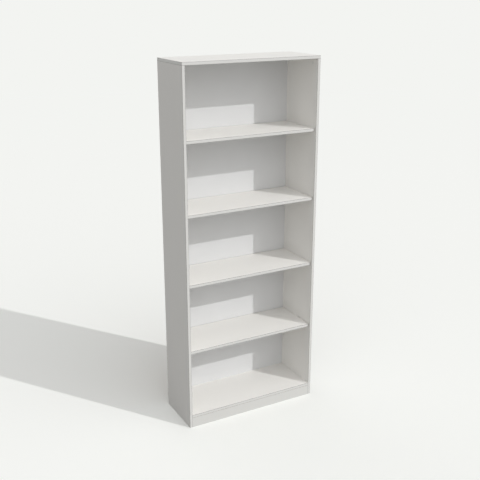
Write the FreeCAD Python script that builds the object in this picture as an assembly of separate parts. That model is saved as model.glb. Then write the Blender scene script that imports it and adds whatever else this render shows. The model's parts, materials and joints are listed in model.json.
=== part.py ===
import FreeCAD, Part
import math
import os

# Tall open bookcase of white faced boards, held together by cams and dowels.
# Millimetres. X runs across the width, the open front faces -Y and +Z is up.
# The origin is on the floor, at the middle of the overall width and depth.

# Case
case_width = 800.0
case_height = 2000.0
side_depth = 300.0           # front face to rear edge of sides, top and bottom
board = 16.0                 # thickness of every board
base_height = 75.0           # floor to the upper face of the bottom board

# Back panel
back_thickness = 3.0
back_inset = 1.0             # how far its edges stay inside the case's outline

# Loose shelves
shelf_count = 4
shelf_setback = 12.0         # front edge of a shelf behind the front of the case
shelf_end_gap = 1.0          # room between a shelf's end and the side
shelf_rear_gap = 2.0         # room between a shelf and the back panel

# Edge bands
band = 1.0                   # thickness of the plastic edge band
band_round = 0.8             # rounding of its long edges

# Shelf pins
pin_setback = 37.0           # pin rows from the front and from the rear edge of the side
pin_shank_radius = 2.5
pin_shank_length = 9.0
pin_head_radius = 3.5
pin_head_length = 9.0
pin_nose_round = 1.0
pin_flat_height = 2.0        # flat that carries the shelf, above the pin's axis

# Cam fittings
cam_radius = 7.5
cam_setback = 24.0           # board end to the cam's axis
cam_wall = 3.5               # board left behind the cam's hole
cam_slot_width = 1.4         # cross slot for the screwdriver
cam_slot_length = 7.0
cam_slot_depth = 2.5
bolt_setback = 50.0          # bolt rows from the front and from the rear edge
bolt_wall = 5.0              # board left behind the bolt's thread
bolt_thread_radius = 2.5
bolt_collar_radius = 3.5
bolt_collar_length = 2.0
bolt_shank_radius = 2.9
bolt_neck_radius = 1.8
bolt_neck_length = 4.0
bolt_head_radius = 3.0
bolt_head_length = 3.0
bolt_bore_radius = 4.0       # bore for the bolt in the end of a board
cap_radius = 9.0
cap_thickness = 0.8
cap_round = 0.5

# Dowels
dowel_radius = 4.0
dowel_length = 30.0
dowel_wall = 5.0             # board left behind a dowel in a board's face
dowel_chamfer = 1.0
dowel_offset = 40.0          # dowel rows from the bolt rows, towards the middle
plinth_dowel_spacing = 240.0
plinth_dowel_count = 3
plinth_dowel_rise = 12.0     # end dowel's axis above the floor
plinth_cam_drop = 19.0       # cam's axis below the plinth's upper edge

# Nails that hold the back
nail_radius = 0.8
nail_length = 20.0
nail_tip = 2.0
nail_tip_radius = 0.1
nail_head_radius = 1.7
nail_head_thickness = 0.8
nail_pitch = 150.0
nail_end_margin = 30.0       # first nail from the end of a row

# Brackets that stop the case tipping
bracket_spacing = 600.0
bracket_width = 34.0
bracket_leg = 22.0
bracket_thickness = 2.0
bracket_bend = 1.5           # inner radius of its bend
bracket_corner = 4.0         # rounding of its free corners
bracket_screw_spacing = 18.0
bracket_hole_height = 9.0    # hole's axis from the free end of a leg
wall_hole_radius = 2.75
screw_radius = 1.75
screw_length = 12.0
screw_tip = 3.0
screw_tip_radius = 0.2
screw_head_radius = 3.5
screw_head_height = 2.2
screw_head_round = 1.2
screw_slot_width = 1.0
screw_slot_length = 4.4
screw_slot_depth = 1.2

# Fits
fit_gap = 0.05               # radial room round pins, dowels, bolts, cams, nails and screws
end_gap = 0.5                # room at the blind end of a hole
drill_start = 1.0            # how far a drill or cutter starts outside the face that it enters
round_limit = 0.9            # largest rounding, as a share of the wall that it is cut in
same_size = 1e-6             # two sizes or places this close are the same

# Places worked out from the sizes above
depth = side_depth + back_thickness
half_width = case_width / 2
front = -depth / 2
rear = front + side_depth
back_face = front + depth
side_inner = half_width - board
side_height = case_height - board
plinth_height = base_height - board
inner_width = case_width - 2 * board
mid_board = board / 2
clear_height = (side_height - base_height - shelf_count * board) / (shelf_count + 1)
shelf_pitch = clear_height + board
shelf_length = inner_width - 2 * shelf_end_gap
shelf_front = front + shelf_setback
shelf_rear = rear - shelf_rear_gap
shelf_numbers = range(1, shelf_count + 1)
pin_rows = (front + pin_setback, rear - pin_setback)
bolt_rows = (front + bolt_setback, rear - bolt_setback)
dowel_rows = (bolt_rows[0] + dowel_offset, bolt_rows[1] - dowel_offset)
cam_depth = board - cam_wall
bolt_thread_length = board - bolt_wall
dowel_in_face = board - dowel_wall
bracket_hole_drop = bracket_leg - bracket_hole_height
bracket_places = (-bracket_spacing / 2, bracket_spacing / 2)
hands = (-1, 1)              # left and right

along_x = FreeCAD.Vector(1, 0, 0)
along_y = FreeCAD.Vector(0, 1, 0)
along_z = FreeCAD.Vector(0, 0, 1)


def point(x, y, z):
    return FreeCAD.Vector(x, y, z)


def block(low, high):
    # A box between its lowest and highest corners.
    size = high - low
    return Part.makeBox(size.x, size.y, size.z, low)


def turned(profile, base, direction):
    # A solid of revolution: profile is (distance along the axis, radius) from end to end.
    outline = [point(radius, 0, along) for along, radius in profile]
    outline.insert(0, point(0, 0, profile[0][0]))
    outline.append(point(0, 0, profile[-1][0]))
    outline.append(outline[0])
    solid = Part.Face(Part.makePolygon(outline)).revolve(point(0, 0, 0), along_z, 360)
    solid.Placement = FreeCAD.Placement(base, FreeCAD.Rotation(along_z, direction))
    return solid


def drill(base, direction, radius, length):
    # A hole's cutter, starting a little outside the face that it enters.
    start = base - direction * drill_start
    return Part.makeCylinder(radius, length + drill_start, start, direction)


def same(first, second):
    return abs(first - second) < same_size


def edges_where(solid, test):
    # The edges whose middle passes the test.
    return [edge for edge in solid.Edges if test(edge.CenterOfMass)]


def cut_all(solid, cutters):
    return solid.cut(cutters).removeSplitter()


def cross_slot(centre, direction, width, length, slot_depth):
    # Two crossed slots that a screwdriver fits, cut from centre against direction.
    bars = []
    for across, along in ((width, length), (length, width)):
        bar = block(point(-across / 2, -along / 2, -slot_depth), point(across / 2, along / 2, drill_start))
        turn = FreeCAD.Rotation(along_z, direction)
        bars.append(bar.transformed(FreeCAD.Placement(centre, turn).toMatrix()))
    return bars


# Edge bands

def front_band(low_x, high_x, low_z, high_z, face, round_ends):
    # A strip on a front edge, its outer face at face, with its long edges rounded over.
    strip = block(point(low_x, face, low_z), point(high_x, face + band, high_z))
    long_side = max(high_x - low_x, high_z - low_z)
    rounded = [edge for edge in strip.Edges if same(edge.CenterOfMass.y, face)]
    if not round_ends:
        rounded = [edge for edge in rounded if same(edge.Length, long_side)]
    return strip.makeFillet(min(band_round, round_limit * band), rounded)


def top_end_band(hand):
    # A strip on an end of the top, behind the top's front band.
    outer = hand * half_width
    low_x, high_x = sorted((outer, outer - hand * band))
    strip = block(point(low_x, front + band, side_height), point(high_x, rear, case_height))
    rounded = [edge for edge in strip.Edges
               if same(edge.CenterOfMass.x, outer) and same(edge.Length, side_depth - band)]
    return strip.makeFillet(min(band_round, round_limit * band), rounded)


# Fasteners, each with the cutters for its holes

def dowel(face_point, into_face):
    # A round dowel: one end in the face of a board, the other in the end of the next.
    start = face_point + into_face * dowel_in_face
    tip = dowel_radius - dowel_chamfer
    profile = [(0, tip), (dowel_chamfer, dowel_radius),
               (dowel_length - dowel_chamfer, dowel_radius), (dowel_length, tip)]
    return turned(profile, start, -into_face)


def dowel_face_hole(face_point, into_face):
    return drill(face_point, into_face, dowel_radius + fit_gap, dowel_in_face + end_gap)


def dowel_end_hole(face_point, into_face):
    return drill(face_point, -into_face, dowel_radius + fit_gap, dowel_length - dowel_in_face + end_gap)


def cam_bolt(face_point, into_face):
    # Thread in the face of one board, collar, shank and neck in the end of the next, head in the cam.
    head_end = cam_setback + bolt_head_length / 2
    neck_end = cam_setback - bolt_head_length / 2
    neck_start = neck_end - bolt_neck_length
    profile = [(-bolt_thread_length, bolt_thread_radius), (0, bolt_thread_radius),
               (0, bolt_collar_radius), (bolt_collar_length, bolt_collar_radius),
               (bolt_collar_length, bolt_shank_radius), (neck_start, bolt_shank_radius),
               (neck_start, bolt_neck_radius), (neck_end, bolt_neck_radius),
               (neck_end, bolt_head_radius), (head_end, bolt_head_radius)]
    return turned(profile, face_point, -into_face)


def bolt_face_hole(face_point, into_face):
    return drill(face_point, into_face, bolt_thread_radius + fit_gap, bolt_thread_length + end_gap)


def bolt_end_bore(face_point, into_face):
    return drill(face_point, -into_face, bolt_bore_radius, cam_setback)


def cam_mouth(face_point, into_face, cam_normal):
    # Centre of the cam on the board's face that the cam is turned from.
    return face_point - into_face * cam_setback + cam_normal * mid_board


def cam(face_point, into_face, cam_normal):
    # Housing with a passage for the bolt's neck and head, and a cross slot on its face.
    mouth = cam_mouth(face_point, into_face, cam_normal)
    housing = Part.makeCylinder(cam_radius - fit_gap, cam_depth, mouth, -cam_normal)
    bolt_head_room = bolt_head_radius + end_gap
    passage_end = face_point - into_face * (cam_setback + bolt_head_room)
    passage_length = cam_radius + bolt_head_room + drill_start
    passage = Part.makeCylinder(bolt_head_room, passage_length, passage_end, into_face)
    slots = cross_slot(mouth, cam_normal, cam_slot_width, cam_slot_length, cam_slot_depth)
    return housing.cut([passage] + slots)


def cam_hole(face_point, into_face, cam_normal):
    mouth = cam_mouth(face_point, into_face, cam_normal)
    return drill(mouth, -cam_normal, cam_radius, cam_depth + end_gap)


def cam_cap(face_point, into_face, cam_normal):
    # A thin disc stuck over the cam, its rim rounded off.
    mouth = cam_mouth(face_point, into_face, cam_normal)
    disc = Part.makeCylinder(cap_radius, cap_thickness, mouth, cam_normal)
    outer_plane = mouth + cam_normal * cap_thickness
    rim = edges_where(disc, lambda middle: (middle - outer_plane).Length < cap_thickness / 2)
    return disc.makeFillet(min(cap_round, round_limit * cap_thickness), rim)


def shelf_pin(side_point, into_side):
    # A turned pin: shank in the side, thicker head under the shelf with a flat on top.
    shank = Part.makeCylinder(pin_shank_radius, pin_shank_length, side_point, into_side)
    head = Part.makeCylinder(pin_head_radius, pin_head_length, side_point, -into_side)
    nose = edges_where(head, lambda middle: (middle - side_point).Length > pin_head_length - pin_nose_round)
    head = head.makeFillet(pin_nose_round, nose)
    reach = pin_head_length + drill_start
    above = block(point(-reach, -reach, pin_flat_height), point(reach, reach, reach))
    above.translate(side_point)
    return shank.fuse(head.cut(above)).removeSplitter()


def shelf_pin_hole(side_point, into_side):
    return drill(side_point, into_side, pin_shank_radius + fit_gap, pin_shank_length + end_gap)


def nail(head_point, direction):
    # Round wire nail, its head flush with the back panel.
    profile = [(0, nail_head_radius), (nail_head_thickness, nail_head_radius),
               (nail_head_thickness, nail_radius), (nail_length - nail_tip, nail_radius),
               (nail_length, nail_tip_radius)]
    return turned(profile, head_point, direction)


def nail_hole(head_point, direction):
    shank = drill(head_point, direction, nail_radius + fit_gap, nail_length + end_gap)
    recess = drill(head_point, direction, nail_head_radius + fit_gap, nail_head_thickness)
    return shank.fuse(recess)


def screw(head_seat, direction):
    # Round-headed screw: direction is the way it is driven, head_seat lies under its head.
    head = Part.makeCylinder(screw_head_radius, screw_head_height, head_seat, -direction)
    top_centre = head_seat - direction * screw_head_height
    rim = edges_where(head, lambda middle: (middle - top_centre).Length < screw_head_height / 2)
    head = head.makeFillet(min(screw_head_round, round_limit * screw_head_height), rim)
    slots = cross_slot(top_centre, -direction, screw_slot_width, screw_slot_length, screw_slot_depth)
    head = head.cut(slots)
    shank_profile = [(0, screw_radius), (screw_length - screw_tip, screw_radius),
                     (screw_length, screw_tip_radius)]
    return head.fuse(turned(shank_profile, head_seat, direction)).removeSplitter()


# Where the fasteners go

def hand_rows(rows):
    # Each row on each hand.
    return [(hand, y) for hand in hands for y in rows]


def top_bolts():
    # On the upper end of each side: cams face the compartment.
    return [(point(hand * (half_width - mid_board), y, side_height), along_z, along_x * -hand)
            for hand, y in hand_rows(bolt_rows)]


def top_dowel_places():
    return [(point(hand * (half_width - mid_board), y, side_height), along_z)
            for hand, y in hand_rows(dowel_rows)]


def bottom_bolts():
    # On the inner face of each side: cams face the floor.
    return [(point(hand * side_inner, y, base_height - mid_board), along_x * hand, -along_z)
            for hand, y in hand_rows(bolt_rows)]


def bottom_dowel_places():
    return [(point(hand * side_inner, y, base_height - mid_board), along_x * hand)
            for hand, y in hand_rows(dowel_rows)]


def plinth_bolts():
    # On the inner face of each side: cams face the rear.
    height = plinth_height - plinth_cam_drop
    return [(point(hand * side_inner, front + mid_board, height), along_x * hand, along_y)
            for hand in hands]


def plinth_end_dowel_places():
    return [(point(hand * side_inner, front + mid_board, plinth_dowel_rise), along_x * hand)
            for hand in hands]


def plinth_top_dowel_places():
    first = -plinth_dowel_spacing * (plinth_dowel_count - 1) / 2
    return [(point(first + index * plinth_dowel_spacing, front + mid_board, plinth_height), along_z)
            for index in range(plinth_dowel_count)]


def shelf_top(number):
    return base_height + number * shelf_pitch


def pin_places(number):
    height = shelf_top(number) - board - pin_flat_height
    return [(point(hand * side_inner, y, height), along_x * hand) for hand, y in hand_rows(pin_rows)]


def spread(low, high):
    # Evenly spaced places between two ends, no further apart than the nails' pitch.
    first, last = low + nail_end_margin, high - nail_end_margin
    steps = max(1, math.ceil((last - first) / nail_pitch))
    return [first + index * (last - first) / steps for index in range(steps + 1)]


def side_nails(hand):
    return [(point(hand * (half_width - mid_board), back_face, z), -along_y)
            for z in spread(base_height, side_height)]


def cross_nails(height):
    return [(point(x, back_face, height), -along_y) for x in spread(-side_inner, side_inner)]


def top_nails():
    return cross_nails(case_height - mid_board)


def bottom_nails():
    return cross_nails(base_height - mid_board)


def all_nails():
    return side_nails(-1) + side_nails(1) + top_nails() + bottom_nails()


def bracket_screws():
    places = []
    for centre in bracket_places:
        for x in (centre - bracket_screw_spacing / 2, centre + bracket_screw_spacing / 2):
            places.append((point(x, rear - bracket_hole_drop, side_height - bracket_thickness), along_z))
    return places


def bracket_screw_hole(head_seat, direction):
    return drill(head_seat, direction, screw_radius + fit_gap, screw_length + end_gap)


def wall_holes():
    # Holes for the wall screws, through the bracket and the back panel.
    reach = bracket_thickness + back_thickness + drill_start
    return [drill(point(x, rear - bracket_thickness, side_height - bracket_hole_drop), along_y,
                  wall_hole_radius, reach) for x in bracket_places]


# Boards

def on_hand(places, hand):
    # The places on one side of the case.
    return [place for place in places if place[0].x * hand > 0]


def side_board(hand):
    low_x, high_x = sorted((hand * side_inner, hand * half_width))
    panel = block(point(low_x, front + band, 0), point(high_x, rear, side_height))
    cutters = []
    for place in on_hand(top_bolts(), hand):
        cutters += [bolt_end_bore(*place[:2]), cam_hole(*place)]
    cutters += [dowel_end_hole(*place) for place in on_hand(top_dowel_places(), hand)]
    cutters += [bolt_face_hole(*place[:2]) for place in on_hand(bottom_bolts() + plinth_bolts(), hand)]
    face_dowels = bottom_dowel_places() + plinth_end_dowel_places()
    cutters += [dowel_face_hole(*place) for place in on_hand(face_dowels, hand)]
    for number in shelf_numbers:
        cutters += [shelf_pin_hole(*place) for place in on_hand(pin_places(number), hand)]
    cutters += [nail_hole(*place) for place in side_nails(hand)]
    return cut_all(panel, cutters)


def top_board():
    edge = half_width - band
    panel = block(point(-edge, front + band, side_height), point(edge, rear, case_height))
    cutters = [bolt_face_hole(*place[:2]) for place in top_bolts()]
    cutters += [dowel_face_hole(*place) for place in top_dowel_places()]
    cutters += [nail_hole(*place) for place in top_nails()]
    cutters += [bracket_screw_hole(*place) for place in bracket_screws()]
    return cut_all(panel, cutters)


def bottom_board():
    panel = block(point(-side_inner, front + band, plinth_height), point(side_inner, rear, base_height))
    cutters = []
    for place in bottom_bolts():
        cutters += [bolt_end_bore(*place[:2]), cam_hole(*place)]
    cutters += [dowel_end_hole(*place) for place in bottom_dowel_places()]
    cutters += [dowel_face_hole(*place) for place in plinth_top_dowel_places()]
    cutters += [nail_hole(*place) for place in bottom_nails()]
    return cut_all(panel, cutters)


def plinth_board():
    panel = block(point(-side_inner, front, 0), point(side_inner, front + board, plinth_height))
    cutters = []
    for place in plinth_bolts():
        cutters += [bolt_end_bore(*place[:2]), cam_hole(*place)]
    cutters += [dowel_end_hole(*place) for place in plinth_end_dowel_places()]
    cutters += [dowel_end_hole(*place) for place in plinth_top_dowel_places()]
    return cut_all(panel, cutters)


def back_panel():
    # Laid over the rear edges, from the underside of the bottom board to just below the top.
    edge = half_width - back_inset
    low, high = plinth_height + back_inset, case_height - back_inset
    panel = block(point(-edge, rear, low), point(edge, back_face, high))
    return cut_all(panel, [nail_hole(*place) for place in all_nails()] + wall_holes())


def shelf_board(number):
    top = shelf_top(number)
    half = shelf_length / 2
    return block(point(-half, shelf_front + band, top - board), point(half, shelf_rear, top))


def shelf_band(number):
    top = shelf_top(number)
    return front_band(-shelf_length / 2, shelf_length / 2, top - board, top, shelf_front, True)


# Brackets

def wall_bracket(x):
    # Bent angle in the corner between the top's underside and the back panel.
    left, right = x - bracket_width / 2, x + bracket_width / 2
    tip_y, tip_z = rear - bracket_leg, side_height - bracket_leg
    inner_y, inner_z = rear - bracket_thickness, side_height - bracket_thickness
    flat_leg = block(point(left, tip_y, inner_z), point(right, rear, side_height))
    hung_leg = block(point(left, inner_y, tip_z), point(right, rear, side_height))
    angle = flat_leg.fuse(hung_leg).removeSplitter()
    bends = ((inner_y, inner_z, bracket_bend), (rear, side_height, bracket_bend + bracket_thickness))
    for y, z, radius in bends:
        bend_line = edges_where(angle, lambda middle: same(middle.y, y) and same(middle.z, z))
        angle = angle.makeFillet(radius, bend_line)
    free_corners = [edge for edge in angle.Edges if same(edge.Length, bracket_thickness)
                    and (same(edge.CenterOfMass.y, tip_y) or same(edge.CenterOfMass.z, tip_z))]
    angle = angle.makeFillet(bracket_corner, free_corners)
    screw_holes = [bracket_screw_hole(*place) for place in bracket_screws()]
    return cut_all(angle, screw_holes + wall_holes())


# All nodes

def all_nodes():
    nodes = {
        "left_side": side_board(-1),
        "right_side": side_board(1),
        "top_board": top_board(),
        "bottom_board": bottom_board(),
        "plinth": plinth_board(),
        "back_panel": back_panel(),
        "left_side_band": front_band(-half_width, -side_inner, 0, side_height, front, False),
        "right_side_band": front_band(side_inner, half_width, 0, side_height, front, False),
        "top_front_band": front_band(-half_width, half_width, side_height, case_height, front, True),
        "top_left_band": top_end_band(-1),
        "top_right_band": top_end_band(1),
        "bottom_band": front_band(-side_inner, side_inner, plinth_height, base_height, front, False),
    }
    groups = {
        "top_cams": [cam(*place) for place in top_bolts()],
        "top_cam_bolts": [cam_bolt(*place[:2]) for place in top_bolts()],
        "top_cam_caps": [cam_cap(*place) for place in top_bolts()],
        "top_dowels": [dowel(*place) for place in top_dowel_places()],
        "bottom_cams": [cam(*place) for place in bottom_bolts()],
        "bottom_cam_bolts": [cam_bolt(*place[:2]) for place in bottom_bolts()],
        "bottom_dowels": [dowel(*place) for place in bottom_dowel_places()],
        "plinth_cams": [cam(*place) for place in plinth_bolts()],
        "plinth_cam_bolts": [cam_bolt(*place[:2]) for place in plinth_bolts()],
        "plinth_end_dowels": [dowel(*place) for place in plinth_end_dowel_places()],
        "plinth_top_dowels": [dowel(*place) for place in plinth_top_dowel_places()],
        "back_nails": [nail(*place) for place in all_nails()],
        "wall_brackets": [wall_bracket(x) for x in bracket_places],
        "bracket_screws": [screw(*place) for place in bracket_screws()],
    }
    for number in shelf_numbers:
        nodes[f"shelf_{number}"] = shelf_board(number)
        nodes[f"shelf_band_{number}"] = shelf_band(number)
        groups[f"shelf_pins_{number}"] = [shelf_pin(*place) for place in pin_places(number)]
    for name, solids in groups.items():
        nodes[name] = Part.makeCompound(solids)
    return nodes


os.makedirs("parts", exist_ok=True)
for name, shape in all_nodes().items():
    shape.exportStep(os.path.join("parts", name + ".step"))
    state = "valid" if shape.isValid() else "not valid"
    print(name, len(shape.Solids), "solids", round(shape.Volume, 1), "mm3", state)
print("overall", case_width, depth, case_height, "clear height of a compartment", clear_height)
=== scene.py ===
import json
import math

import bpy
import numpy as np
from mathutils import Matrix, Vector

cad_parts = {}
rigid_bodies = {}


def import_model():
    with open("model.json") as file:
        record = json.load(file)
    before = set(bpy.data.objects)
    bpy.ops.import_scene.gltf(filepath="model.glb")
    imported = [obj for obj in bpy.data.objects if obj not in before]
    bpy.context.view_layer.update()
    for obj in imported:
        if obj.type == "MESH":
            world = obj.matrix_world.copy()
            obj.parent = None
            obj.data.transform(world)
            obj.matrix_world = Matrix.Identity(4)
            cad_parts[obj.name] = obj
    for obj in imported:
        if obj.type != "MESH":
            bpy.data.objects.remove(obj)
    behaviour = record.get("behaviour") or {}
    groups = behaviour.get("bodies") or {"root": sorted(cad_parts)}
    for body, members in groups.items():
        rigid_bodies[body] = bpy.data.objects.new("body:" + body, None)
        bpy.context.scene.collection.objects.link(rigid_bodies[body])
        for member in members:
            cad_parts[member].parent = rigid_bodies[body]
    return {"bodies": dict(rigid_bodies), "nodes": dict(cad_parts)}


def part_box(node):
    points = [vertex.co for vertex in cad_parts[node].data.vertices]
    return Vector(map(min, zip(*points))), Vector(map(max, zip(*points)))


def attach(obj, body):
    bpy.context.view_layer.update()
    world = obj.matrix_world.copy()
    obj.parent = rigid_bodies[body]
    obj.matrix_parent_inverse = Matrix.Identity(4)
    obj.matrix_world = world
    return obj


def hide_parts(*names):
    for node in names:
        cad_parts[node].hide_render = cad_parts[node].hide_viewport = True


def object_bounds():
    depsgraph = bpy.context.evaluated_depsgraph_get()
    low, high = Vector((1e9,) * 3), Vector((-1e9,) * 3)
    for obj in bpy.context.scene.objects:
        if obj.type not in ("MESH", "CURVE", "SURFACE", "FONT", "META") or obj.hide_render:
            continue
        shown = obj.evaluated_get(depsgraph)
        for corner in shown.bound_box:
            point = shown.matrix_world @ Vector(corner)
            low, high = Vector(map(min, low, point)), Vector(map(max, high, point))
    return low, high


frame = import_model()
cadBounds = [list(corner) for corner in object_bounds()]
nodes = frame["nodes"]
shelfBodies = [body for body in frame["bodies"] if body.startswith("loose_shelf_")]
shelfNumbers = [int(body.rsplit("_", 1)[1]) for body in shelfBodies]
print("frame loaded:", len(nodes), "nodes,", len(shelfNumbers), "loose shelves")

alongX, alongY, alongZ = (1, 0, 0), (0, 1, 0), (0, 0, 1)
toFront, toRear, toLeft, toRight = (0, -1, 0), (0, 1, 0), (-1, 0, 0), (1, 0, 0)


# Node trees

mixSockets = {"factor": 0, "first": 6, "second": 7, "result": 2}   # the Mix node's, for colours
zeroToOne = (0.0, 1.0)
noiseRange = (0.3, 0.7)          # most values of a noise lie between these
faceRange = (0.6, 0.8)           # a face counts as turned to an axis from the first cosine to the second
noiseKinds = {                   # how many finer layers a noise has, and how strong they are
    "smooth": (1.0, 0.5),
    "plain": (2.0, 0.5),
    "cloudy": (3.0, 0.5),
    "grainy": (4.0, 0.5),
    "clotted": (4.0, 0.6),
    "ringed": (5.0, 0.5),
    "fibrous": (6.0, 0.65),
}


def addNode(tree, kind, sockets=None, **settings):
    # a value that is a socket is linked, any other is set
    node = tree.nodes.new("ShaderNode" + kind)
    for key, value in settings.items():
        setattr(node, key, value)
    for key, value in (sockets or {}).items():
        if isinstance(value, bpy.types.NodeSocket):
            tree.links.new(value, node.inputs[key])
        else:
            node.inputs[key].default_value = value
    return node


def calc(tree, operation, *values):
    return addNode(tree, "Math", dict(enumerate(values)), operation=operation).outputs[0]


def measure(tree, operation, *vectors):
    # one number from vectors, such as a length
    return addNode(tree, "VectorMath", dict(enumerate(vectors)), operation=operation).outputs["Value"]


def remap(tree, value, fromRange, toRange, style="LINEAR"):
    sockets = {"Value": value, "From Min": fromRange[0], "From Max": fromRange[1],
               "To Min": toRange[0], "To Max": toRange[1]}
    return addNode(tree, "MapRange", sockets, interpolation_type=style).outputs[0]


def spread(tree, cloud, low, high):
    # a noise brought to the range from low to high
    return remap(tree, cloud, noiseRange, (low, high))


def tint(tree, colour, factor):
    # a colour made lighter or darker by a factor that varies over the surface
    scaled = addNode(tree, "VectorMath", {0: colour, "Scale": factor}, operation="SCALE")
    return scaled.outputs[0]


def opaque(colour):
    return colour if isinstance(colour, bpy.types.NodeSocket) else (*colour, 1.0)


def mixColour(tree, factor, first, second):
    values = {"factor": factor, "first": opaque(first), "second": opaque(second)}
    sockets = {mixSockets[part]: value for part, value in values.items()}
    return addNode(tree, "Mix", sockets, data_type="RGBA").outputs[mixSockets["result"]]


def noise(tree, where, size, kind):
    # size is the width of one blotch in metres
    detail, roughness = noiseKinds[kind]
    sockets = {"Vector": where, "Scale": 1 / size, "Detail": detail, "Roughness": roughness}
    return addNode(tree, "TexNoise", sockets).outputs[0]


def stretched(tree, where, longAxis, factor):
    # a factor under 1 draws a pattern out along the axis, one over 1 squeezes it
    scale = [factor if along else 1.0 for along in longAxis]
    return addNode(tree, "Mapping", {"Vector": where, "Scale": scale}).outputs[0]


def objectPlace(tree):
    return addNode(tree, "TexCoord").outputs["Object"]


def facing(tree, axis, bothWays=False):
    # 1 on faces that look along the axis, 0 on the rest
    normal = addNode(tree, "NewGeometry").outputs["Normal"]
    cosine = measure(tree, "DOT_PRODUCT", normal, axis)
    if bothWays:
        cosine = calc(tree, "ABSOLUTE", cosine)
    return remap(tree, cosine, faceRange, zeroToOne)


def newFinish(name):
    finish = bpy.data.materials.new(name)
    finish.use_nodes = True
    tree = finish.node_tree
    shader = tree.nodes["Principled BSDF"]
    return finish, tree, shader


def connect(tree, shader, colour, rough, height, relief=1.0):
    # relief is the height in metres of a bump whose values run from 0 to 1
    bump = addNode(tree, "Bump", {"Strength": 1.0, "Distance": relief, "Height": height})
    tree.links.new(colour, shader.inputs["Base Color"])
    tree.links.new(rough, shader.inputs["Roughness"])
    tree.links.new(bump.outputs[0], shader.inputs["Normal"])


# Faced board: warm white melamine on the wide faces, sawn chip core on the edges and in the holes

boardLook = {
    "white": (0.89, 0.876, 0.846),
    # the board's white made darker on the plinth: painted shade that offsets the strong light on its front
    # face
    "shadedPlinthWhite": (0.755, 0.75, 0.722),
    "drift": 0.015,              # slow change of the white over a board
    "driftSize": 0.35,
    "speck": 0.010,              # fine grain printed in the facing
    "speckSize": 0.0016,
    "gloss": 0.58,               # roughness of the facing
    "glossDrift": 0.08,
    "glossSize": 0.175,
    "shine": 0.30,               # how strongly it mirrors
    "pearlSize": 0.0012,         # pressed pearl texture
    "pearlHeight": 0.000025,
    "chipSize": 0.0035,
    "chipFlat": 2.6,             # how much longer than thick a chip is
    "chipLight": (0.62, 0.46, 0.29),
    "chipDark": (0.33, 0.21, 0.11),
    "chipHeight": 0.00025,
    "chipRough": 0.9,
}


def boardFinish(name, wideAxis, white):
    look = boardLook
    finish, tree, shader = newFinish(name)
    place = objectPlace(tree)
    onFace = facing(tree, wideAxis, bothWays=True)
    drift = spread(tree, noise(tree, place, look["driftSize"], "cloudy"), 1 - look["drift"], 1.0)
    speck = spread(tree, noise(tree, place, look["speckSize"], "smooth"), 1 - look["speck"], 1.0)
    melamine = tint(tree, white, calc(tree, "MULTIPLY", drift, speck))
    chipPlace = stretched(tree, place, wideAxis, look["chipFlat"])
    chips = addNode(tree, "TexVoronoi", {"Vector": chipPlace, "Scale": 1 / look["chipSize"]}).outputs
    shade = addNode(tree, "SeparateColor", {0: chips["Color"]}).outputs[0]
    core = mixColour(tree, shade, look["chipDark"], look["chipLight"])
    satin = noise(tree, place, look["glossSize"], "grainy")
    satin = spread(tree, satin, look["gloss"], look["gloss"] + look["glossDrift"])
    pearl = noise(tree, place, look["pearlSize"], "smooth")
    pearl = calc(tree, "MULTIPLY", pearl, look["pearlHeight"])
    pits = calc(tree, "MULTIPLY", chips["Distance"], look["chipHeight"])
    colour = mixColour(tree, onFace, core, melamine)
    rough = remap(tree, onFace, zeroToOne, (look["chipRough"], satin))
    height = remap(tree, onFace, zeroToOne, (pits, pearl))
    shader.inputs["Specular IOR Level"].default_value = look["shine"]
    connect(tree, shader, colour, rough, height)
    return finish


# Plastic edge band: a white darker than the boards' to paint shade on the edges, a touch smoother, with
# painted shade along the rounded edges, scraper lines and a glue line

bandLook = {
    # darker than the boards' white: painted shade that offsets the strong front light on the edges
    "white": (0.745, 0.741, 0.716),
    "shadedEdge": (0.14, 0.138, 0.132),      # painted shade on the rounded edges, in place of the shade in the joints between parts
    "drift": 0.012,
    "driftSize": 0.2,
    "scraperSize": 0.0007,       # spacing of the lines that the scraper leaves
    "scraperDrawn": 0.004,       # they run far along the band
    "scraperHeight": 0.000012,
    "gloss": 0.36,
    "glossDrift": 0.08,
    "glue": (0.50, 0.45, 0.36),
}


def bandFinish(name, longAxis):
    look = bandLook
    finish, tree, shader = newFinish(name)
    place = objectPlace(tree)
    drift = spread(tree, noise(tree, place, look["driftSize"], "cloudy"), 1 - look["drift"], 1.0)
    white = tint(tree, look["white"], drift)
    glue = addNode(tree, "Attribute", attribute_name="glueLine").outputs["Fac"]
    # a mark that paints shade on the band's rounded edges
    edgeShade = addNode(tree, "Attribute", attribute_name="edgeShadeMark").outputs["Fac"]
    colour = mixColour(tree, edgeShade, white, look["shadedEdge"])
    colour = mixColour(tree, glue, colour, look["glue"])
    linePlace = stretched(tree, place, longAxis, look["scraperDrawn"])
    lines = noise(tree, linePlace, look["scraperSize"], "plain")
    rough = spread(tree, lines, look["gloss"], look["gloss"] + look["glossDrift"])
    connect(tree, shader, colour, rough, lines, look["scraperHeight"])
    return finish


# Back panel: neutral white lacquer towards the shelves, raw brown hardboard behind

backLook = {
    "lacquer": (0.738, 0.741, 0.744),
    "lacquerDrift": 0.02,
    "lacquerGloss": 0.36,
    "waveSize": 0.16,            # slight waviness of a thin board
    "waveHeight": 0.0004,
    "peelSize": 0.0022,          # orange peel of the lacquer
    "peelHeight": 0.00003,
    "fibreDark": (0.27, 0.165, 0.09),
    "fibreLight": (0.47, 0.31, 0.185),
    "fibreSize": 0.004,
    "fibreRough": 0.72,
    "cloudShare": 0.6,           # broad clouds among the fibres
    "mottleRange": (0.55, 1.05),
}


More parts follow.
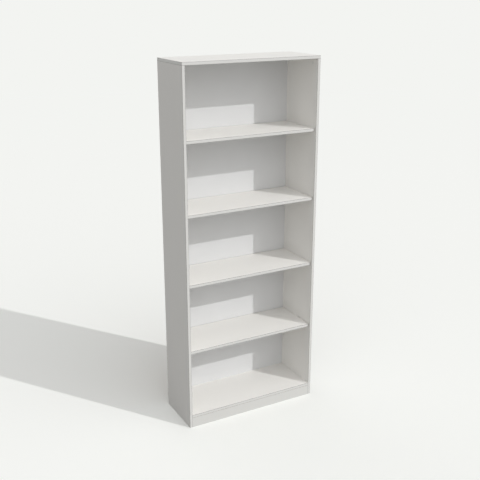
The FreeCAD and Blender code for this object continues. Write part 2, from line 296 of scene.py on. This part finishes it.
def backFinish():
    look = backLook
    finish, tree, shader = newFinish("lacqueredHardboard")
    place = objectPlace(tree)
    inside = facing(tree, toFront)
    wave = noise(tree, place, look["waveSize"], "smooth")
    lacquer = tint(tree, look["lacquer"], spread(tree, wave, 1 - look["lacquerDrift"], 1.0))
    pulp = noise(tree, place, look["fibreSize"], "fibrous")
    cloud = noise(tree, place, look["waveSize"], "clotted")
    mottle = calc(tree, "MULTIPLY_ADD", cloud, look["cloudShare"], pulp)
    mottle = remap(tree, mottle, look["mottleRange"], zeroToOne)
    fibre = mixColour(tree, mottle, look["fibreDark"], look["fibreLight"])
    colour = mixColour(tree, inside, fibre, lacquer)
    rough = remap(tree, inside, zeroToOne, (look["fibreRough"], look["lacquerGloss"]))
    peel = calc(tree, "MULTIPLY", noise(tree, place, look["peelSize"], "smooth"), look["peelHeight"])
    height = calc(tree, "MULTIPLY_ADD", wave, look["waveHeight"], peel)
    connect(tree, shader, colour, rough, height)
    return finish


# Metal fittings: a fine grain in relief and a broader haze in the colour and the gloss

metalLook = {
    "platedSteel": {
        "colour": (0.66, 0.65, 0.62),
        "rough": 0.24,
        "grainSize": 0.0015,
        "grainHeight": 0.00002,
        "hazeSize": 0.018,
    },
    "castZinc": {
        "colour": (0.46, 0.46, 0.47),
        "rough": 0.46,
        "grainSize": 0.0009,
        "grainHeight": 0.00006,
        "hazeSize": 0.0108,
    },
    "haze": 0.14,
    "roughDrift": 0.16,
}


def metalFinish(name):
    look = metalLook[name]
    finish, tree, shader = newFinish(name)
    place = objectPlace(tree)
    grain = noise(tree, place, look["grainSize"], "grainy")
    haze = noise(tree, place, look["hazeSize"], "cloudy")
    colour = tint(tree, look["colour"], spread(tree, haze, 1 - metalLook["haze"], 1.0))
    rough = spread(tree, haze, look["rough"], look["rough"] + metalLook["roughDrift"])
    shader.inputs["Metallic"].default_value = 1.0
    connect(tree, shader, colour, rough, grain, look["grainHeight"])
    return finish


# Beech dowels: fine growth rings drawn out along the dowel

beechLook = {
    "light": (0.66, 0.47, 0.29),
    "dark": (0.47, 0.30, 0.17),
    "ringSize": 0.0016,
    "ringDrawn": 0.08,
    "ringHeight": 0.00006,
    "lateRough": 0.75,
    "earlyRough": 0.60,
}


def beechFinish(name, longAxis):
    look = beechLook
    finish, tree, shader = newFinish(name)
    rings = stretched(tree, objectPlace(tree), longAxis, look["ringDrawn"])
    grain = noise(tree, rings, look["ringSize"], "ringed")
    colour = mixColour(tree, spread(tree, grain, *zeroToOne), look["dark"], look["light"])
    rough = spread(tree, grain, look["lateRough"], look["earlyRough"])
    connect(tree, shader, colour, rough, grain, look["ringHeight"])
    return finish


# Moulded cover caps: white plastic with a faint mould grain

capLook = {
    "white": (0.82, 0.81, 0.785),
    "drift": 0.02,
    "gloss": 0.34,
    "glossDrift": 0.10,
    "mouldSize": 0.0008,
    "mouldHeight": 0.00001,
}


def capFinish():
    look = capLook
    finish, tree, shader = newFinish("mouldedCap")
    mould = noise(tree, objectPlace(tree), look["mouldSize"], "plain")
    colour = tint(tree, look["white"], spread(tree, mould, 1 - look["drift"], 1.0))
    rough = spread(tree, mould, look["gloss"], look["gloss"] + look["glossDrift"])
    connect(tree, shader, colour, rough, mould, look["mouldHeight"])
    return finish


sideFaced = boardFinish("facedBoardUpright", alongX, boardLook["white"])
flatFaced = boardFinish("facedBoardLevel", alongZ, boardLook["white"])
# the plinth's board finish with its white darkened as painted shade
shadedPlinthFaced = boardFinish("facedBoardPlinthShaded", alongY, boardLook["shadedPlinthWhite"])
bandAcross = bandFinish("edgeBandAcross", alongX)
bandUpright = bandFinish("edgeBandUpright", alongZ)
bandDeep = bandFinish("edgeBandDeep", alongY)
hardboard = backFinish()
platedSteel = metalFinish("platedSteel")
castZinc = metalFinish("castZinc")
beechUpright = beechFinish("beechUpright", alongZ)
beechAcross = beechFinish("beechAcross", alongX)
capWhite = capFinish()
print("finishes made")


# Finishes of the CAD nodes that stay as they are

nodeFinishes = {
    "left_side": sideFaced,
    "right_side": sideFaced,
    "top_board": flatFaced,
    "bottom_board": flatFaced,
    "plinth": shadedPlinthFaced,
    "back_panel": hardboard,
    "top_cams": castZinc,
    "bottom_cams": castZinc,
    "plinth_cams": castZinc,
    "top_cam_bolts": platedSteel,
    "bottom_cam_bolts": platedSteel,
    "plinth_cam_bolts": platedSteel,
    "top_dowels": beechUpright,
    "bottom_dowels": beechAcross,
    "plinth_end_dowels": beechAcross,
    "plinth_top_dowels": beechUpright,
    "wall_brackets": platedSteel,
    "bracket_screws": platedSteel,
}
for number in shelfNumbers:
    nodeFinishes[f"shelf_{number}"] = flatFaced


def dressNode(node, finish):
    slots = nodes[node].data.materials
    slots.clear()
    slots.append(finish)


for node, finish in nodeFinishes.items():
    dressNode(node, finish)
print("CAD nodes dressed:", len(nodeFinishes))


# Meshes from whole arrays

meshStyle = {"sharpDegrees": 35.0}        # edges that turn more than this stay sharp


def newPiece(name, points, faces, finish):
    mesh = bpy.data.meshes.new(name)
    mesh.from_pydata(points.reshape(-1, 3).tolist(), [], faces)
    mesh.polygons.foreach_set("use_smooth", np.ones(len(mesh.polygons), dtype=bool))
    mesh.set_sharp_from_angle(angle=math.radians(meshStyle["sharpDegrees"]))
    mesh.materials.append(finish)
    mesh.update()
    piece = bpy.data.objects.new(name, mesh)
    bpy.context.scene.collection.objects.link(piece)
    return piece


def standFor(piece, node, body):
    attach(piece, body)
    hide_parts(node)


def ringFaces(ringCount, ringSize, copies=1):
    # quads between closed rings and one face across each end, for each copy of the stack of rings
    ring, step = np.meshgrid(np.arange(ringCount - 1), np.arange(ringSize), indexing="ij")
    nextStep = (step + 1) % ringSize
    corners = (ring * ringSize + step, ring * ringSize + nextStep,
               (ring + 1) * ringSize + nextStep, (ring + 1) * ringSize + step)
    quads = np.stack(corners, axis=-1).reshape(-1, 4)
    around = np.arange(ringSize)
    ends = np.stack([around[::-1], around + (ringCount - 1) * ringSize])
    shift = np.arange(copies)[:, None, None] * ringCount * ringSize
    return (quads + shift).reshape(-1, 4).tolist() + (ends + shift).reshape(-1, ringSize).tolist()


# Edge bands

bandCut = {
    "round": 0.0008,
    "roundSteps": 7,
    "glueLine": 0.00016,
    "strip": 0.0005,             # how far the painted edge shade reaches onto the outer face beside the round
    "edgeShadeFade": 3,
}


def bandSurface(low, high, outward, roundEnds):
    # A stack of rectangles from the board outwards: straight sides, then a quarter round of radius r where
    # the angle a runs from 0 to 90 degrees, inset r(1 - cos a) and depth r(1 - sin a), then a narrow strip
    # of the outer face. The painted shade on the edges is 1 - (inset / (r + strip)) to the power of the
    # fade.
    cut = bandCut
    low, high, outward = np.array(low), np.array(high), np.array(outward, float)
    sizes, middle = high - low, (low + high) / 2
    deep = int(np.argmax(np.abs(outward)))
    short, long = sorted((axis for axis in range(3) if axis != deep), key=lambda axis: sizes[axis])
    angle = np.linspace(0, math.pi / 2, cut["roundSteps"])
    glued = [sizes[deep], sizes[deep] - cut["glueLine"]]     # the two rings of the glue line
    shadedEdge = cut["round"] + cut["strip"]
    depth = np.concatenate([glued, cut["round"] * (1 - np.sin(angle)), [0.0]])
    inset = np.concatenate([np.zeros(len(glued)), cut["round"] * (1 - np.cos(angle)), [shadedEdge]])
    endInset = inset if roundEnds else np.zeros_like(inset)
    turn = np.array([[-1, -1], [1, -1], [1, 1], [-1, 1]])
    outerFace = high[deep] if outward[deep] > 0 else low[deep]
    points = np.zeros((len(depth), len(turn), 3))
    points[:, :, long] = middle[long] + (sizes[long] / 2 - endInset)[:, None] * turn[:, 0]
    points[:, :, short] = middle[short] + (sizes[short] / 2 - inset)[:, None] * turn[:, 1]
    points[:, :, deep] = (outerFace - outward[deep] * depth)[:, None]
    faces = ringFaces(len(depth), len(turn))
    turnsOutward = np.cross(np.eye(3)[long], np.eye(3)[short])[deep] * outward[deep] > 0
    if not turnsOutward:
        faces = [face[::-1] for face in faces]
    glue = np.where(np.arange(len(depth)) < len(glued), 1.0, 0.0)
    # painted shade: full on the band's sides, fading out over the round to the outer face
    edgeShade = 1 - (inset / shadedEdge) ** cut["edgeShadeFade"]
    marks = {"glueLine": np.repeat(glue, len(turn)), "edgeShadeMark": np.repeat(edgeShade, len(turn))}
    return points, faces, marks


def makeBand(name, node, outward, finish, body, roundEnds):
    points, faces, marks = bandSurface(*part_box(node), outward, roundEnds)
    piece = newPiece(name, points, faces, finish)
    for mark, values in marks.items():
        piece.data.attributes.new(mark, "FLOAT", "POINT").data.foreach_set("value", values)
    standFor(piece, node, body)


def makeShelfBand(number):
    body = f"loose_shelf_{number}"
    makeBand(f"shelfBand{number}", f"shelf_band_{number}", toFront, bandAcross, body, roundEnds=True)


makeBand("leftSideBand", "left_side_band", toFront, bandUpright, "case", roundEnds=False)
makeBand("rightSideBand", "right_side_band", toFront, bandUpright, "case", roundEnds=False)
makeBand("topFrontBand", "top_front_band", toFront, bandAcross, "case", roundEnds=True)
makeBand("topLeftBand", "top_left_band", toLeft, bandDeep, "case", roundEnds=False)
makeBand("topRightBand", "top_right_band", toRight, bandDeep, "case", roundEnds=False)
makeBand("bottomBand", "bottom_band", toFront, bandAcross, "case", roundEnds=False)
for number in shelfNumbers:
    makeShelfBand(number)
print("edge bands made")


# Turned pieces

innerFaces = {                   # where each side's inner face lies, by the way that it looks
    1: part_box("left_side")[1][0],
    -1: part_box("right_side")[0][0],
}


def turnedSurface(profile, starts, axes, steps):
    # A profile of (along, radius) stations goes once round each axis: at angle t a station lies at along
    # on the axis and at radius times (cos t, sin t) across it.
    along, radius = np.array(profile, float).T
    starts, axes = np.array(starts, float), np.array(axes, float)
    across = np.cross(axes, alongZ)
    over = np.cross(axes, across)
    angle = np.linspace(0, 2 * math.pi, steps, endpoint=False)
    circle = across[:, None] * np.cos(angle)[:, None] + over[:, None] * np.sin(angle)[:, None]
    centres = starts[:, None] + along[:, None] * axes[:, None]
    points = centres[:, :, None] + radius[:, None, None] * circle[:, None]
    return points, ringFaces(len(along), steps, copies=len(starts))


def roundedEnd(along, radius, corner, steps):
    # A quarter round from the mantle to the end face: at angle a it lies c(1 - sin a) short of the end
    # and c(1 - cos a) inside the mantle, where c is the corner's radius.
    angle = np.linspace(0, math.pi / 2, steps)
    return list(zip(along - corner * (1 - np.sin(angle)), radius - corner * (1 - np.cos(angle))))


def onInnerFaces(rows, level):
    # a place at each row on the inner face of both sides, and the way out of that face
    starts = [(face, row, level) for face in innerFaces.values() for row in rows]
    axes = [(way, 0, 0) for way in innerFaces for row in rows]
    return starts, axes


# Shelf pins: a shank in the side board and a round head, cut flat where the shelf lies on it

pinCut = {
    "shank": 0.0025,             # radius, as the head's
    "shankTaper": 0.0006,
    "head": 0.0035,
    "headLength": 0.009,
    "headRound": 0.0010,
    "roundSteps": 7,
    "collarRound": 0.0003,
    "flat": 0.0020,              # height of the flat over the pin's axis
    "steps": 40,
}


def pinProfile(shankLength):
    # stations from the tip outwards: a shank with a chamfer, the head's collar and its rounded end
    cut = pinCut
    tip = (-shankLength, cut["shank"] - cut["shankTaper"])
    shank = [(cut["shankTaper"] - shankLength, cut["shank"]), (0.0, cut["shank"])]
    collar = [(0.0, cut["head"] - cut["collarRound"]), (cut["collarRound"], cut["head"])]
    end = roundedEnd(cut["headLength"], cut["head"], cut["headRound"], cut["roundSteps"])
    return [tip] + shank + collar + end


def makePins(number):
    cut = pinCut
    node = f"shelf_pins_{number}"
    low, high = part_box(node)
    rows = (low[1] + cut["head"], high[1] - cut["head"])
    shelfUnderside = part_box(f"shelf_{number}")[0][2]
    starts, axes = onInnerFaces(rows, shelfUnderside - cut["flat"])
    profile = pinProfile(high[0] - innerFaces[-1])
    points, faces = turnedSurface(profile, starts, axes, cut["steps"])
    # no point of a head lies higher than the shelf's underside
    isHead = np.array([along >= 0 and radius > cut["shank"] for along, radius in profile])
    ceiling = np.where(isHead, shelfUnderside, np.inf)
    points[..., 2] = np.minimum(points[..., 2], ceiling[:, None])
    standFor(newPiece(f"shelfPins{number}", points, faces, platedSteel), node, "case")


for number in shelfNumbers:
    makePins(number)
print("shelf pins made")


# Cover caps: thin discs with a rounded rim and a slight crown, over the cams at the top

capCut = {
    "thickness": 0.0008,
    "rimRound": 0.0004,
    "rimSteps": 6,
    "crown": 0.0002,             # rise from the rim to the middle
    "crownSteps": 8,
    "flatMiddle": 0.02,          # share of the radius that the last face takes
    "steps": 64,
}


def makeCaps():
    # Inside the rim the crown is a parabola: at the share s of the rim's radius it lies c times s squared
    # under the middle, where c is the crown's rise.
    cut = capCut
    low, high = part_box("top_cam_caps")
    level, radius = (low[2] + high[2]) / 2, (high[2] - low[2]) / 2
    rows = (low[1] + radius, high[1] - radius)
    rim = roundedEnd(cut["thickness"] - cut["crown"], radius, cut["rimRound"], cut["rimSteps"])
    share = np.linspace(1.0, cut["flatMiddle"], cut["crownSteps"] + 1)[1:]
    crown = list(zip(cut["thickness"] - cut["crown"] * share ** 2, (radius - cut["rimRound"]) * share))
    profile = [(0.0, radius)] + rim + crown
    points, faces = turnedSurface(profile, *onInnerFaces(rows, level), cut["steps"])
    standFor(newPiece("camCaps", points, faces, capWhite), "top_cam_caps", "case")


# Nails of the back: pointed wire, a flat head with a softened edge, flush with the panel

nailCut = {
    "wire": 0.0008,              # radius, as the head's and the tip's
    "point": 0.002,
    "tip": 0.0001,
    "head": 0.0017,
    "headThickness": 0.0008,
    "headRound": 0.00035,
    "roundSteps": 5,
    "pitch": 0.150,              # the widest gap between two nails
    "pitchSlack": 0.001,         # share of a gap that rounding may add to a row
    "endMargin": 0.030,
    "steps": 20,
}


def evenly(low, high):
    cut = nailCut
    first, last = low + cut["endMargin"], high - cut["endMargin"]
    gaps = math.ceil((last - first) / cut["pitch"] - cut["pitchSlack"])
    return np.linspace(first, last, gaps + 1)


def nailPlaces(level):
    floorBoard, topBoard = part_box("bottom_board"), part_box("top_board")
    places = []
    for low, high in (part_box("left_side"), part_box("right_side")):
        places += [((low[0] + high[0]) / 2, level, z) for z in evenly(floorBoard[1][2], high[2])]
    for low, high in (topBoard, floorBoard):
        places += [(x, level, (low[2] + high[2]) / 2) for x in evenly(innerFaces[1], innerFaces[-1])]
    return places


def makeNails():
    # stations from the tip outwards: a cone, the straight wire, and the head with its rounded rim
    cut = nailCut
    low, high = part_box("back_nails")
    length = high[1] - low[1]
    cone = [(-length, cut["tip"]), (cut["point"] - length, cut["wire"])]
    underHead = [(-cut["headThickness"], cut["wire"]), (-cut["headThickness"], cut["head"])]
    end = roundedEnd(0.0, cut["head"], cut["headRound"], cut["roundSteps"])
    starts = nailPlaces(high[1])
    points, faces = turnedSurface(cone + underHead + end, starts, [toRear] * len(starts), cut["steps"])
    standFor(newPiece("backNails", points, faces, platedSteel), "back_nails", "case")


makeCaps()
makeNails()
print("caps and nails made")


# Pale studio floor, a key from the front right and a dome of broad soft lights

studio = {
    "ground": (0.896, 0.905, 0.880),      # floor and background as the camera sees them
    "floorWhite": (0.955, 0.964, 0.938),
    "floorLift": 0.05,                    # glow that only the camera sees
    "tone": 0.085,                        # how much darker the floor is at the front edge
    "toneReach": 0.09,
    "floorBounce": (0.35, 0.35, 0.343),   # share of the light that the floor gives back to the object
    "floorHalf": 60.0,
    "fade": (4.0, 14.0),                  # the floor passes into the background between these distances
    "keyPath": (-0.716, 1.0, -0.861),     # the way the key light travels
    "keyStrength": 1.26,
    "keyAngle": 0.6,                      # degrees that the lamp spans, which softens the shadows' edges
    "softPower": 2.0,                     # each soft light falls off as this power of the cosine
    "softLights": (                       # where each lies on the dome, and how bright it is
        ((0.0, -0.707, 0.707), 1.38),
        ((0.0, 0.0, 1.0), 0.08),
        ((-1.0, 0.0, 0.0), 0.13),
        ((0.0, 1.0, 0.0), 0.84),
    ),
}


def cameraSees(tree):
    # 1 where the camera looks, straight or through a reflection or glass, and 0 for other light
    rays = addNode(tree, "LightPath").outputs
    seen = calc(tree, "ADD", rays["Is Camera Ray"], rays["Is Glossy Ray"])
    seen = calc(tree, "ADD", seen, rays["Is Transmission Ray"])
    return calc(tree, "MINIMUM", seen, 1.0)


def frontTone(tree, place):
    # 1 far off, and less towards the front of the case, which throws light on the floor there:
    # 1 - t exp(-d / r), where d is the distance to the line of the case's front edge
    low, high = cadBounds
    where = addNode(tree, "SeparateXYZ", {0: place}).outputs
    across = calc(tree, "ABSOLUTE", where["X"])
    beside = calc(tree, "MAXIMUM", calc(tree, "SUBTRACT", across, high[0]), 0.0)
    before = calc(tree, "SUBTRACT", where["Y"], low[1])
    offset = addNode(tree, "CombineXYZ", {0: beside, 1: before}).outputs[0]
    distance = measure(tree, "LENGTH", offset)
    close = calc(tree, "EXPONENT", calc(tree, "DIVIDE", distance, -studio["toneReach"]))
    return calc(tree, "MULTIPLY_ADD", close, -studio["tone"], 1.0)


def floorFinish():
    finish, tree, shader = newFinish("paleFloor")
    place = objectPlace(tree)
    seen = cameraSees(tree)
    toned = tint(tree, studio["floorWhite"], frontTone(tree, place))
    near = mixColour(tree, seen, studio["floorBounce"], toned)
    far = mixColour(tree, seen, studio["floorBounce"], studio["ground"])
    matte = addNode(tree, "BsdfDiffuse", {"Color": near}).outputs[0]
    liftStrength = calc(tree, "MULTIPLY", seen, studio["floorLift"])
    lift = addNode(tree, "Emission", {"Color": far, "Strength": liftStrength}).outputs[0]
    lifted = addNode(tree, "AddShader", {0: matte, 1: lift}).outputs[0]
    glow = addNode(tree, "Emission", {"Color": far}).outputs[0]
    fade = remap(tree, measure(tree, "LENGTH", place), studio["fade"], zeroToOne, "SMOOTHSTEP")
    both = addNode(tree, "MixShader", {0: fade, 1: lifted, 2: glow}).outputs[0]
    tree.links.new(both, tree.nodes["Material Output"].inputs["Surface"])
    tree.nodes.remove(shader)
    finish.cycles.emission_sampling = "NONE"
    return finish


def makeFloor():
    # a flat square about the origin
    corners = studio["floorHalf"] * np.array([[-1, -1, 0], [1, -1, 0], [1, 1, 0], [-1, 1, 0]], float)
    floor = newPiece("studioFloor", corners, [(0, 1, 2, 3)], floorFinish())


def makeWorld():
    # the dome's light is the sum, over the soft lights, of strength times the cosine to the soft power
    world = bpy.data.worlds.new("studioDome")
    bpy.context.scene.world = world
    world.use_nodes = True
    tree = world.node_tree
    way = addNode(tree, "TexCoord").outputs["Generated"]
    light = 0.0
    for place, strength in studio["softLights"]:
        cosine = calc(tree, "MAXIMUM", measure(tree, "DOT_PRODUCT", way, place), 0.0)
        lobe = calc(tree, "POWER", cosine, studio["softPower"])
        light = calc(tree, "MULTIPLY_ADD", lobe, strength, light)
    dome = addNode(tree, "CombineColor", {0: light, 1: light, 2: light}).outputs[0]
    colour = mixColour(tree, cameraSees(tree), dome, studio["ground"])
    tree.links.new(colour, tree.nodes["Background"].inputs["Color"])


def makeKey():
    lamp = bpy.data.lights.new("keyLamp", "SUN")
    lamp.energy = studio["keyStrength"]
    lamp.angle = math.radians(studio["keyAngle"])
    key = bpy.data.objects.new("keyLamp", lamp)
    key.rotation_euler = Vector(studio["keyPath"]).to_track_quat("-Z", "Y").to_euler()
    bpy.context.scene.collection.objects.link(key)


# Camera: it circles the middle of the case

viewpoint = {
    "turn": -28.67,              # degrees round from the front, to the left
    "rise": 18.41,
    "away": 4.2495,
    "fieldOfView": 35.0,
    "nearest": 0.01,             # what lies nearer or further than these isn't drawn
    "furthest": 500.0,
}


def makeCamera():
    low, high = Vector(cadBounds[0]), Vector(cadBounds[1])
    middle = (low + high) / 2
    turn, rise = math.radians(viewpoint["turn"]), math.radians(viewpoint["rise"])
    outward = Vector((math.sin(turn) * math.cos(rise), -math.cos(turn) * math.cos(rise), math.sin(rise)))
    lens = bpy.data.cameras.new("photoView")
    lens.sensor_fit = "HORIZONTAL"
    lens.angle = math.radians(viewpoint["fieldOfView"])
    lens.clip_start = viewpoint["nearest"]
    lens.clip_end = viewpoint["furthest"]
    camera = bpy.data.objects.new("photoView", lens)
    camera.location = middle + viewpoint["away"] * outward
    camera.rotation_euler = (-outward).to_track_quat("-Z", "Y").to_euler()
    bpy.context.scene.collection.objects.link(camera)
    bpy.context.scene.camera = camera


makeFloor()
makeWorld()
makeKey()
makeCamera()
bpy.context.scene.view_settings.view_transform = "Standard"
print("studio and camera set")
